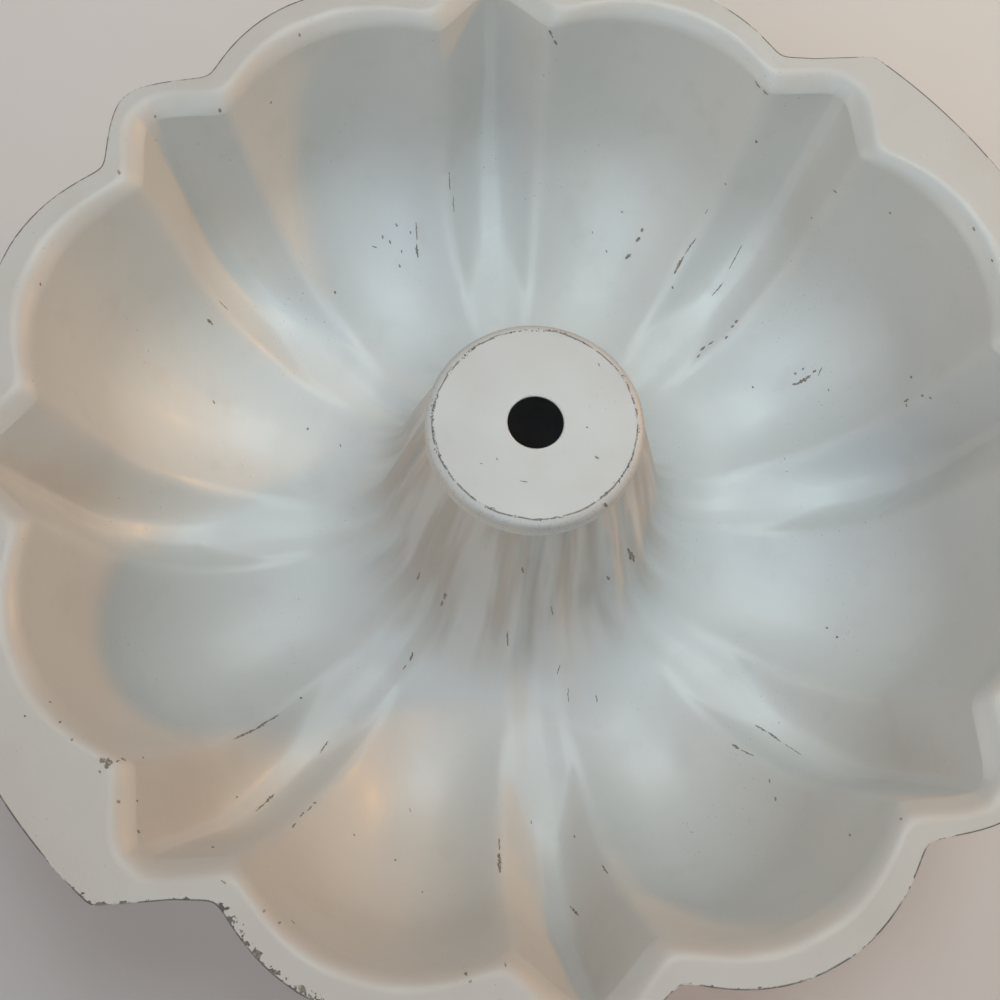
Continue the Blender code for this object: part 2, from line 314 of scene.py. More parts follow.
def surface_ring(angles, place):
    """Ring of points on the food side at one place along the guides."""
    widening = EDGE_VEE_HALF_ANGLE - VEE_HALF_ANGLE
    half_angle = VEE_HALF_ANGLE + widening * max(0, WALL_START - place)
    tip_round = np.interp(place, PLACES, TIP_ROUNDS)
    ridge_round = np.interp(place, PLACES, RIDGE_ROUNDS)
    fullness = np.interp(place, PLACES, RIDGE_FULLNESS)
    shares = shares_at(angles, half_angle, tip_round, ridge_round, fullness)
    points = [guide.point(place) for guide in (RIDGE, VEE, LOBE)]
    radius = sum(share * point[0] for share, point in zip(shares, points))
    height = sum(share * point[1] for share, point in zip(shares, points))
    limit = CAP_RADIUS - SKIRT_CLEARANCE + (TUBE_END - place) * SKIRT_WIDENING
    radius = np.where(radius < CAP_RADIUS + SKIRT_ZONE, np.minimum(radius, limit), radius)
    return ring_at(angles, radius, RIM_HEIGHT + height)


def tab_radius(angles, reach):
    """Reach of the grip tabs: an arc from vee to vee, a rounded corner, a slanting side."""
    turned = np.abs(np.remainder(angles, 2 * math.pi) - math.pi)
    off_axis = math.pi / 2 - np.abs(turned - math.pi / 2)
    past_corner = np.maximum(off_axis - PITCH / 2, TAB_SIDE_START)
    side = reach * math.sin(TAB_SIDE_ANGLE) / np.sin(TAB_SIDE_ANGLE + past_corner)
    return 0.5 * (reach + side - np.sqrt((reach - side) ** 2 + TAB_BLEND))


def edge_ring(angles):
    """The flange's cut edge: lobed, with rounded vees, and a tab at each end of X."""
    flanges = (RIDGE_FLANGE, VEE_FLANGE, LOBE_FLANGE)
    radii = [guide.crest() + flange for guide, flange in zip((RIDGE, VEE, LOBE), flanges)]
    shares = shares_at(angles, EDGE_VEE_HALF_ANGLE, EDGE_ROUND, EDGE_RIDGE_ROUND)
    lobed = sum(share * radius for share, radius in zip(shares, radii))
    radius = np.maximum(lobed, tab_radius(angles, radii[2] + TAB_REACH))
    return ring_at(angles, radius, RIM_HEIGHT)


def grid_normals(rings):
    """Normals of the food side at each point of a stack of closed rings."""
    grid = np.array(rings)
    along = np.gradient(grid, axis=0)
    across = np.roll(grid, -1, axis=1) - np.roll(grid, 1, axis=1)
    normals = np.cross(across, along)
    return normals / np.linalg.norm(normals, axis=2)[:, :, None]


def placed(name, data):
    """New object in the scene."""
    made = bpy.data.objects.new(name, data)
    bpy.context.scene.collection.objects.link(made)
    return made


def pressing(name, rings, normals, smooth_rings, materials, thickness=SHEET):
    """Closed sheet shell with its food side on the rings, shaded flat past the smooth ones."""
    grid = np.array(rings)
    count, columns = grid.shape[:2]
    points = np.concatenate((grid, grid - normals * thickness)).reshape(-1, 3)
    back = count * columns
    here = np.arange(columns)
    there = (here + 1) % columns
    quads = []
    loops = []
    slots = []

    def add(corners, corner_normals, slot):
        quads.append(corners)
        if corner_normals is None:
            a, b, c, d = (points[corners[:, index]] for index in range(4))
            flat = np.cross(c - a, d - b)
            flat /= np.linalg.norm(flat, axis=1)[:, None]
            corner_normals = np.repeat(flat[:, None, :], 4, axis=1)
        loops.append(corner_normals)
        slots.append(np.full(len(corners), slot))

    smooth_normals = normals.reshape(-1, 3)
    for ring in range(count - 1):
        first = ring * columns
        last = first + columns
        corners = np.column_stack((first + here, first + there, last + there, last + here))
        smooth = ring < smooth_rings - 1
        add(corners, smooth_normals[corners] if smooth else None, 0)
        mirrored = corners[:, ::-1]
        add(mirrored + back, -smooth_normals[mirrored] if smooth else None, 0)
    outer = np.column_stack((here, here + back, there + back, there))
    add(outer, None, 1)
    last = (count - 1) * columns
    inner = np.column_stack((here, there, there + back, here + back)) + last
    add(inner, None, 1)
    mesh = bpy.data.meshes.new(name)
    mesh.from_pydata(points.tolist(), [], np.concatenate(quads).tolist())
    mesh.shade_smooth()
    mesh.normals_split_custom_set(np.concatenate(loops).reshape(-1, 3).tolist())
    for material in materials:
        mesh.materials.append(material)
    mesh.polygons.foreach_set("material_index", np.concatenate(slots).astype(np.int32))
    return placed(name, mesh)


# Colours of the coating in its zones, of what lies on it, and of the metal below it
COAT_PALE = (0.700, 0.690, 0.676)
COAT_DULL = (0.660, 0.653, 0.640)
# Painted sheen: the coat is painted paler low on the floor, where overhead light glows on it
COAT_PAINTED_SHEEN = (0.775, 0.785, 0.780)
# Dimmed top band, partly heat tint and partly painted shade; also painted shade on the near side
COAT_BAKED_AND_SHADED = (0.540, 0.490, 0.450)
# Cap's top: partly its own tone, partly painted shade
COAT_CAP = (0.590, 0.580, 0.580)
STAIN_COLOUR = (0.46, 0.42, 0.37)
SPECK_COLOUR = (0.24, 0.22, 0.20)
# Tube bands: partly stain streaks, partly painted warm light (tan) and painted shade (blue-grey)
TAN_STAIN_AND_WARM_LIGHT = (0.42, 0.35, 0.29)
BLUE_GREY_STAIN_AND_SHADE = (0.36, 0.40, 0.42)
METAL_DARK = (0.035, 0.028, 0.024)
METAL_GREY = (0.16, 0.14, 0.125)
SCAR_DARK = (0.20, 0.17, 0.145)
SCAR_GREY = (0.39, 0.345, 0.30)

# Level direction from the pan to the camera's side, where the coat is dimmed with painted shade
# and the table with a painted shadow
NEAR_SIDE = (-0.766, -0.643, 0)

# Where the coating's zones begin and end, and how strong each is at most
# Heights over which the floor's painted sheen fades in, and its strength
SHEEN_HIGH = 0.038
SHEEN_LOW = 0.012
SHEEN_SHARE = 0.6
# Top band of heat tint and painted shade, and the cap's share of it
BAKED_AND_SHADED_BAND = 0.0040
CAP_SHARE = 0.8
# Painted shade on the near side: where it fades in, and its strength
SHADED_SIDE_FROM = -0.02
SHADED_SIDE_TO = 0.14
SHADED_SIDE_SHARE = 0.42
# Reach and stretch of the tube's bands of stain, painted light and painted shade
TUBE_FOOT_RADIUS = 0.052
TUBE_TOP_RADIUS = 0.030
TAN_STRETCH = 0.09
BLUE_GREY_STRETCH = 0.06
STAIN_SHARE = 0.12
SPECK_SHARE = 0.6

# Noise patterns
# Each has its features to the metre, its detail, the range of the noise that is stretched,
# and what that is stretched onto where it isn't 0 to 1.
MOTTLE = (16, 3, 0.35, 0.65)
BAKED_AND_SHADED_CLOUD = (22, 3, 0.35, 0.65, 0.35, 0.65)
STAINS = (95, 6, 0.54, 0.74)
SPECK_PATCHES = (34, 3, 0.52, 0.64)
SPECKS = (1300, 2, 0.70, 0.75)
COAT_ROUGHNESS = (60, 4, 0.3, 0.7, 0.46, 0.55)
TAN_BANDS = (150, 2, 0.40, 0.62, 0.10, 0.66)
BLUE_GREY_BANDS = (210, 2, 0.54, 0.68, 0.0, 0.50)
WORN_METAL = (700, 3, 0.45, 0.65)

# Noise patterns of bare metal, whose features to the metre differ from piece to piece
METAL_TINT = (5, 0.42, 0.62)
METAL_ROUGHNESS = (3, 0.3, 0.7, 0.45, 0.7)
METAL_BUMP_DETAIL = 4
METAL_BUMP_DEPTH = 0.00003
CUT_EDGE_SCALE = 420
SCAR_SCALE = 1500

# Worn rim: chips along the cut edge, and a broken line of bare metal on it
RIM_CHIPS = (900, 5)
RIM_CHIP_EDGE = (0.47, 0.50)
RIM_LINE_EDGE = (0.00045, 0.00020)
RIM_LINE_GAPS = (120, 3, 0.38, 0.50)

# Worn ring on the cap
# Flakes get rarer away from it, a broken line lies on it, and the coat peels outside it.
WEAR_RADIUS = 0.0236
RING_WANDER = (70, 2, 0.3, 0.7, -0.0003, 0.0003)
RING_FLAKES = (1600, 4)
RING_CLUSTERS = (90, 2)
RING_CLUSTER_SHARE = 0.4
RING_RARER = 260.0
RING_FLAKE_EDGE = (0.76, 0.81)
RING_LINE_EDGE = (0.00026, 0.00010)
RING_LINE_GAPS = (420, 2, 0.42, 0.52)
RING_LINE_SHARE = 0.8
PEELING = (1500, 3, 0.56, 0.62)
PEELING_START = 0.0004
PEELING_FULL = 0.0014
PEELING_SHARE = 0.5

# Gloss of the coating, and its bumps: soft waves and a fine orange peel
BARE_ROUGHER = 0.2
COAT_INDEX = 1.95
GLAZE_WEIGHT = 0.07
GLAZE_ROUGHNESS = 0.16
WAVES = (75, 2)
WAVE_DEPTH = 0.00012
ORANGE_PEEL = (1000, 3)
ORANGE_PEEL_DEPTH = 0.000025

# Table and backdrop
TABLE_PALE = (0.855, 0.815, 0.80)
TABLE_CLOUDY = (0.83, 0.795, 0.78)
# Painted shadow of the pan on the table's near side
TABLE_PAINTED_SHADOW = (0.64, 0.56, 0.54)
TABLE_CLOUD = (4, 4, 0.3, 0.7)
TABLE_ROUGHNESS = (40, 3, 0.3, 0.7, 0.62, 0.75)
# Where the table's painted shadow fades in along the near side
TABLE_SHADOW_FROM = -0.22
TABLE_SHADOW_TO = 0.22
TABLE_NEAR = 0.22
TABLE_FAR = 1.30
FLOOR_HALF = 3.0
BACKDROP_COLOUR = (0.60, 0.56, 0.54, 1)
ROOM_COLOUR = (1.0, 0.72, 0.61, 1)
ROOM_STRENGTH = 0.10


class Graph:
    """One node material while it is made."""

    def __init__(self, name):
        self.material = bpy.data.materials.new(name)
        self.material.use_nodes = True
        self.tree = self.material.node_tree
        self.shader = self.tree.nodes["Principled BSDF"]
        self.position = self.tree.nodes.new("ShaderNodeTexCoord").outputs["Object"]

    def put(self, socket, value):
        """Link a socket, or set its number or colour."""
        if isinstance(value, bpy.types.NodeSocket):
            self.tree.links.new(value, socket)
        elif isinstance(value, tuple) and socket.type == "RGBA":
            socket.default_value = (*value, 1)
        else:
            socket.default_value = value

    def put_shader(self, name, value):
        """Link or set one of the shader's sockets."""
        self.put(self.shader.inputs[name], value)

    def math(self, operation, first, second=0.0):
        """Result of a Math node."""
        made = self.tree.nodes.new("ShaderNodeMath")
        made.operation = operation
        self.put(made.inputs[0], first)
        self.put(made.inputs[1], second)
        return made.outputs[0]

    def times(self, first, second):
        """Product of two numbers."""
        return self.math("MULTIPLY", first, second)

    def noise(self, scale, detail, vector=None):
        """Noise about 0.5, with its features one over scale metres wide."""
        made = self.tree.nodes.new("ShaderNodeTexNoise")
        self.put(made.inputs["Vector"], vector or self.position)
        self.put(made.inputs["Scale"], scale)
        self.put(made.inputs["Detail"], detail)
        return made.outputs["Fac"]

    def ramp(self, value, low, high, to_low=0.0, to_high=1.0):
        """The value's range stretched onto another, eased and clamped."""
        made = self.tree.nodes.new("ShaderNodeMapRange")
        made.interpolation_type = "SMOOTHSTEP"
        for socket, number in zip(made.inputs, (value, low, high, to_low, to_high)):
            self.put(socket, number)
        return made.outputs[0]

    def pattern(self, values, vector=None):
        """Noise of a scale and detail, stretched by the further values."""
        scale, detail, *ends = values
        return self.ramp(self.noise(scale, detail, vector), *ends)

    def mix(self, share, first, second):
        """Mix of two colours."""
        made = self.tree.nodes.new("ShaderNodeMix")
        made.data_type = "RGBA"
        self.put(made.inputs[0], share)
        self.put(made.inputs[6], first)
        self.put(made.inputs[7], second)
        return made.outputs[2]

    def stretched(self, scale):
        """The position scaled along each axis."""
        made = self.tree.nodes.new("ShaderNodeMapping")
        self.put(made.inputs["Vector"], self.position)
        made.inputs["Scale"].default_value = scale
        return made.outputs[0]

    def vector_math(self, operation, first, second=None, scale=None, output="Vector"):
        """Result of a Vector Math node."""
        made = self.tree.nodes.new("ShaderNodeVectorMath")
        made.operation = operation
        self.put(made.inputs[0], first)
        if second is not None:
            self.put(made.inputs[1], second)
        if scale is not None:
            made.inputs["Scale"].default_value = scale
        return made.outputs[output]

    def from_axis(self):
        """Distance from the tube's axis."""
        return self.vector_math("LENGTH", self.stretched((1, 1, 0)), output="Value")

    def height(self):
        """Height over the table."""
        made = self.tree.nodes.new("ShaderNodeSeparateXYZ")
        self.put(made.inputs[0], self.position)
        return made.outputs["Z"]

    def along(self, way):
        """How far the position lies from the tube's axis in one level direction."""
        return self.vector_math("DOT_PRODUCT", self.position, way, output="Value")

    def down_tube(self, stretch):
        """Position that changes round the tube and hardly down it, so that noise is drawn out
        down it.
        """
        turn = self.vector_math("NORMALIZE", self.stretched((1, 1, 0)))
        turn = self.vector_math("SCALE", turn, scale=TUBE_TOP_RADIUS)
        return self.vector_math("ADD", turn, self.stretched((0, 0, stretch)))

    def stored(self, name):
        """A number stored at the points of the mesh."""
        made = self.tree.nodes.new("ShaderNodeAttribute")
        made.attribute_name = name
        return made.outputs["Fac"]

    def bump(self, height, depth, normal=None):
        """Bumps this deep."""
        made = self.tree.nodes.new("ShaderNodeBump")
        made.inputs["Distance"].default_value = depth
        self.put(made.inputs["Height"], height)
        if normal:
            self.put(made.inputs["Normal"], normal)
        return made.outputs["Normal"]


def coat_colour(graph, worn_corner):
    """Mottled coating with stains and specks, painted paler low down as a painted sheen, and
    duller in a band at the top, partly heat tint and partly painted shade, and on the near side
    with painted shade.
    """
    colour = graph.mix(graph.pattern(MOTTLE), COAT_PALE, COAT_DULL)
    # Painted sheen: paler low down, where overhead light glows on the floor
    floor_sheen = graph.ramp(graph.height(), SHEEN_HIGH, SHEEN_LOW)
    colour = graph.mix(graph.times(floor_sheen, SHEEN_SHARE), colour, COAT_PAINTED_SHEEN)
    # Dimmed top band: partly heat tint, partly painted shade
    baked_and_shaded = graph.ramp(graph.height(), RIM_HEIGHT - BAKED_AND_SHADED_BAND, RIM_HEIGHT)
    if worn_corner:
        colour = graph.mix(graph.times(baked_and_shaded, CAP_SHARE), colour, COAT_CAP)
    else:
        # Painted shade on the near side
        painted_shade_side = graph.ramp(graph.along(NEAR_SIDE), SHADED_SIDE_FROM, SHADED_SIDE_TO, 0.0, SHADED_SIDE_SHARE)
        baked_and_shaded = graph.math("ADD", graph.times(baked_and_shaded, graph.pattern(BAKED_AND_SHADED_CLOUD)), painted_shade_side)
        colour = graph.mix(baked_and_shaded, colour, COAT_BAKED_AND_SHADED)
    colour = graph.mix(graph.times(graph.pattern(STAINS), STAIN_SHARE), colour, STAIN_COLOUR)
    specks = graph.times(graph.pattern(SPECKS), graph.pattern(SPECK_PATCHES))
    return graph.mix(graph.times(specks, SPECK_SHARE), colour, SPECK_COLOUR)


def with_stain_and_light_bands(graph, colour):
    """The colour with tan and blue-grey bands down the tube: partly stain streaks, partly painted
    warm light and painted shade on the flutes.
    """
    near_tube = graph.ramp(graph.from_axis(), TUBE_FOOT_RADIUS, TUBE_TOP_RADIUS)
    # Tan bands of stain and painted warm light, then blue-grey bands of stain and painted shade
    stain_and_light_bands = graph.pattern(TAN_BANDS, graph.down_tube(TAN_STRETCH))
    colour = graph.mix(graph.times(stain_and_light_bands, near_tube), colour, TAN_STAIN_AND_WARM_LIGHT)
    stain_and_light_bands = graph.pattern(BLUE_GREY_BANDS, graph.down_tube(BLUE_GREY_STRETCH))
    return graph.mix(graph.times(stain_and_light_bands, near_tube), colour, BLUE_GREY_STAIN_AND_SHADE)


def bare_rim(graph):
    """Share of bare metal along the flange's cut edge."""
    depth = graph.math("DIVIDE", graph.stored("edge_distance"), graph.stored("edge_wear"))
    chips = graph.ramp(graph.math("SUBTRACT", graph.noise(*RIM_CHIPS), depth), *RIM_CHIP_EDGE)
    line = graph.ramp(graph.stored("edge_distance"), *RIM_LINE_EDGE)
    return graph.math("MAXIMUM", chips, graph.times(line, graph.pattern(RIM_LINE_GAPS)))


def bare_ring(graph):
    """Share of bare metal round the cap's corner."""
    radius = graph.math("ADD", graph.from_axis(), graph.pattern(RING_WANDER))
    off_ring = graph.math("ABSOLUTE", graph.math("SUBTRACT", radius, WEAR_RADIUS))
    clusters = graph.times(graph.noise(*RING_CLUSTERS), RING_CLUSTER_SHARE)
    flakes = graph.math("ADD", graph.noise(*RING_FLAKES), clusters)
    flakes = graph.math("SUBTRACT", flakes, graph.times(off_ring, RING_RARER))
    line = graph.ramp(off_ring, *RING_LINE_EDGE)
    line = graph.times(line, graph.pattern(RING_LINE_GAPS))
    flakes = graph.ramp(flakes, *RING_FLAKE_EDGE)
    return graph.math("MAXIMUM", flakes, graph.times(line, RING_LINE_SHARE))


def with_peeling(graph, colour):
    """The colour with the coating half peeled outside the cap's worn ring."""
    start = WEAR_RADIUS + PEELING_START
    outside = graph.ramp(graph.from_axis(), start, WEAR_RADIUS + PEELING_FULL)
    peeling = graph.times(graph.pattern(PEELING), outside)
    return graph.mix(graph.times(peeling, PEELING_SHARE), colour, STAIN_COLOUR)


def enamel(name, streaked=False, worn_rim=False, worn_corner=False):
    """Pale worn coating with painted sheen and painted shade, with wear on the rim or on the
    cap's corner.
    """
    graph = Graph(name)
    colour = coat_colour(graph, worn_corner)
    rough = graph.pattern(COAT_ROUGHNESS)
    bare = None
    if streaked:
        colour = with_stain_and_light_bands(graph, colour)
    if worn_rim:
        bare = bare_rim(graph)
    if worn_corner:
        bare = bare_ring(graph)
        colour = with_peeling(graph, colour)
    if bare:
        metal = graph.mix(graph.pattern(WORN_METAL), METAL_DARK, METAL_GREY)
        colour = graph.mix(bare, colour, metal)
        rough = graph.math("ADD", rough, graph.times(bare, BARE_ROUGHER))
    graph.put_shader("Base Color", colour)
    graph.put_shader("Roughness", rough)
    graph.put_shader("IOR", COAT_INDEX)
    graph.put_shader("Coat Weight", GLAZE_WEIGHT)
    graph.put_shader("Coat Roughness", GLAZE_ROUGHNESS)
    waves = graph.bump(graph.noise(*WAVES), WAVE_DEPTH)
    peel = graph.bump(graph.noise(*ORANGE_PEEL), ORANGE_PEEL_DEPTH, waves)
    graph.put_shader("Normal", peel)
    return graph.material


def bare_metal(name, dark, grey, scale):
    """Dark bare metal where the coating is gone."""
    graph = Graph(name)
    graph.put_shader("Base Color", graph.mix(graph.pattern((scale, *METAL_TINT)), dark, grey))
    graph.put_shader("Roughness", graph.pattern((scale, *METAL_ROUGHNESS)))
    bumps = graph.noise(scale, METAL_BUMP_DETAIL)
    graph.put_shader("Normal", graph.bump(bumps, METAL_BUMP_DEPTH))
    return graph.material


def seen_or_mirrored(tree):
    """One for what the camera sees, directly or in a mirror or through glass, and else nought."""
    path = tree.nodes.new("ShaderNodeLightPath")
    result = path.outputs["Is Camera Ray"]
    for ray in ("Is Glossy Ray", "Is Transmission Ray"):
        either = tree.nodes.new("ShaderNodeMath")
        either.operation = "MAXIMUM"
        tree.links.new(result, either.inputs[0])
        tree.links.new(path.outputs[ray], either.inputs[1])
        result = either.outputs[0]
    return result


def mixed_into(tree, output, share, first, second):
    """Give an output a mix of two shaders."""
    both = tree.nodes.new("ShaderNodeMixShader")
    for socket, source in zip(both.inputs, (share, first.outputs[0], second.outputs[0])):
        tree.links.new(source, socket)
    tree.links.new(both.outputs[0], tree.nodes[output].inputs["Surface"])


def tabletop(name):
    """Pale matt table, faintly clouded, with a painted shadow on the near side, that goes over
    into the backdrop far from the pan.
    """
    graph = Graph(name)
    tint = graph.mix(graph.pattern(TABLE_CLOUD), TABLE_PALE, TABLE_CLOUDY)
    # Painted shadow on the table's near side
    painted_shadow = graph.ramp(graph.along(NEAR_SIDE), TABLE_SHADOW_FROM, TABLE_SHADOW_TO)
    graph.put_shader("Base Color", graph.mix(painted_shadow, tint, TABLE_PAINTED_SHADOW))
    graph.put_shader("Roughness", graph.pattern(TABLE_ROUGHNESS))
    glow = graph.tree.nodes.new("ShaderNodeEmission")
    glow.inputs["Color"].default_value = BACKDROP_COLOUR
    far = graph.ramp(graph.from_axis(), TABLE_NEAR, TABLE_FAR)
    far = graph.times(far, seen_or_mirrored(graph.tree))
    mixed_into(graph.tree, "Material Output", far, graph.shader, glow)
    return graph.material


def sight(pixel):
    """Camera's place and the direction in which it sees a pixel of the photo."""
    centre = PHOTO_SIZE / 2
    focal = PHOTO_SIZE * LENS / SENSOR
    way = Vector(((pixel[0] - centre) / focal, (centre - pixel[1]) / focal, -1))
    return CAMERA_PLACE.translation, (CAMERA_PLACE.to_3x3() @ way).normalized()


def azimuth_at(pixel, height):
    """Azimuth of the point of a level plane that shows at a pixel."""
    eye, way = sight(pixel)
    point = eye + way * ((height - eye.z) / way.z)
    return math.atan2(point.y, point.x)


def store(piece, name, values):
    """Store one number for each point of the food side, and for the point behind it."""
    numbers = np.concatenate((values, values)).astype(np.float32)
    piece.data.attributes.new(name, "FLOAT", "POINT").data.foreach_set("value", numbers)


# Stretches of the flange's cut edge, from pixel to pixel of the photo, and how worn they are
WORN_EDGES = (
    ((225, 915), (345, 1003), 1.0), ((95, 889), (195, 897), 0.45),
    ((690, 991), (800, 985), 0.30), ((800, 985), (945, 845), 0.10),
)
EDGE_WEAR_LEAST = 0.0012
EDGE_WEAR_MOST = 0.0120
EDGE_WEAR_FADE = math.radians(2.5)


def edge_wear(angles):
    """Width over which wear reaches in from the cut edge, by azimuth."""
    wear = np.full(len(angles), EDGE_WEAR_LEAST)
    for first, last, strength in WORN_EDGES:
        start = azimuth_at(first, RIM_HEIGHT)
        half = 0.5 * math.remainder(azimuth_at(last, RIM_HEIGHT) - start, 2 * math.pi)
        off = np.abs(np.remainder(angles - start - half + math.pi, 2 * math.pi) - math.pi)
        share = np.clip((abs(half) + EDGE_WEAR_FADE - off) / EDGE_WEAR_FADE, 0, 1)
        most = (EDGE_WEAR_MOST - EDGE_WEAR_LEAST) * strength
        wear = np.maximum(wear, EDGE_WEAR_LEAST + most * share)
    return wear


bowl_coat = enamel("bowl_coat_worn_sheen_and_shade", streaked=True, worn_rim=True)
tube_coat = enamel("tube_coat_stained_sheen_and_shade", streaked=True)
cap_coat = enamel("cap_coat_worn_and_shaded", worn_corner=True)
cut_edge = bare_metal("cut_edge", METAL_DARK, METAL_GREY, CUT_EDGE_SCALE)
scar_metal = bare_metal("scar_metal", SCAR_DARK, SCAR_GREY, SCAR_SCALE)

# Skin: the food side's rings from the flange's cut edge to the tube's top
bearings = make_bearings()
bowl_places = spread(LIP_START, WALL_START, LIP_RINGS)
bowl_places += spread(WALL_START, CORNER_START, WALL_RINGS)
bowl_places += spread(CORNER_START, FLOOR_START, CORNER_RINGS)
bowl_places += spread(FLOOR_START, FOOT_START, FLOOR_RINGS)
bowl_places += spread(FOOT_START, SEAM_PLACE, FOOT_RINGS) + [SEAM_PLACE]
tube_places = spread(SEAM_PLACE, TUBE_START, JOIN_RINGS)[1:]
tube_places += spread(TUBE_START, NECK_START, TUBE_RINGS)
tube_places += spread(NECK_START, TUBE_END, NECK_RINGS) + [TUBE_END]
surface_rings = [surface_ring(bearings, place) for place in bowl_places + tube_places]
edge = edge_ring(bearings)
across = surface_rings[0] - edge
flange = [edge + across * step / FLANGE_RINGS for step in range(FLANGE_RINGS)]
skin = flange + surface_rings
skin_normals = grid_normals(skin)
seam = len(flange) + len(bowl_places)

bowl = pressing("bowl_shell", skin[:seam], skin_normals[:seam], seam, (bowl_coat, cut_edge))
edge_distance = np.linalg.norm(np.array(skin[:seam]) - edge, axis=2)
store(bowl, "edge_distance", edge_distance.ravel())
store(bowl, "edge_wear", np.tile(edge_wear(bearings), seam))
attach(bowl, BODY)
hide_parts("fluted_bowl")

# Tube: the lap under the floor, a step up to the seam, the fluted tube and the round neck
neck = [
    ring_at(bearings, NECK_RADIUS, RIM_HEIGHT - SHOULDER_DEPTH),
    ring_at(bearings, NECK_RADIUS, RIM_HEIGHT + NECK_TOP),
]
under = slice(seam - 1 - LAP_RINGS, seam)
lap = list(np.array(skin[under]) - skin_normals[under] * (SHEET + SEAM_GAP))
tube_rings = lap + skin[seam - 1:] + neck
tube_normals = np.concatenate((skin_normals[under], skin_normals[seam - 1:], grid_normals(neck)))
tube_thickness = np.full((len(tube_rings), 1, 1), SHEET)
tube_thickness[len(lap)] = 2 * SHEET + SEAM_GAP - LAP_STEP
tube = pressing(
    "tube_shell", tube_rings, tube_normals, len(tube_rings) - len(neck), (tube_coat, tube_coat),
    tube_thickness,
)
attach(tube, BODY)
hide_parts("centre_tube")

# Cap: skirt, rolled corner, flat top and the hole's slightly rounded edge
skirt_end = CAP_RISE - CAP_SKIRT
cap_profile = [
    (CAP_RADIUS, skirt_end),
    (CAP_RADIUS, skirt_end + CAP_SKIRT_RING),
    (CAP_RADIUS, CAP_RISE - CAP_CORNER - CAP_BEND_RING),
]
for turn in np.linspace(0, math.pi / 2, CAP_CORNER_RINGS):
    cap_profile.append((
        CAP_RADIUS - CAP_CORNER * (1 - math.cos(turn)),
        CAP_RISE - CAP_CORNER * (1 - math.sin(turn)),
    ))
cap_profile.append((CAP_RADIUS - CAP_CORNER - CAP_BEND_RING, CAP_RISE))
hole_edge = CAP_HOLE_RADIUS + HOLE_ROUND
cap_profile += [(hole_edge + reach, CAP_RISE) for reach in CAP_TOP_RINGS]
for turn in np.linspace(0, math.pi / 2, CAP_HOLE_RINGS):
    cap_profile.append((
        CAP_HOLE_RADIUS + HOLE_ROUND * (1 - math.sin(turn)),
        CAP_RISE - HOLE_ROUND * (1 - math.cos(turn)),
    ))
cap_bearings = np.radians(np.arange(0, 360, CAP_COLUMN_ANGLE))
cap_rings = [ring_at(cap_bearings, radius, RIM_HEIGHT + height) for radius, height in cap_profile]
cap_normals = grid_normals(cap_rings)
cap = pressing("cap_shell", cap_rings, cap_normals, len(cap_rings), (cap_coat, cap_coat))
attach(cap, BODY)
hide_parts("tube_cap")

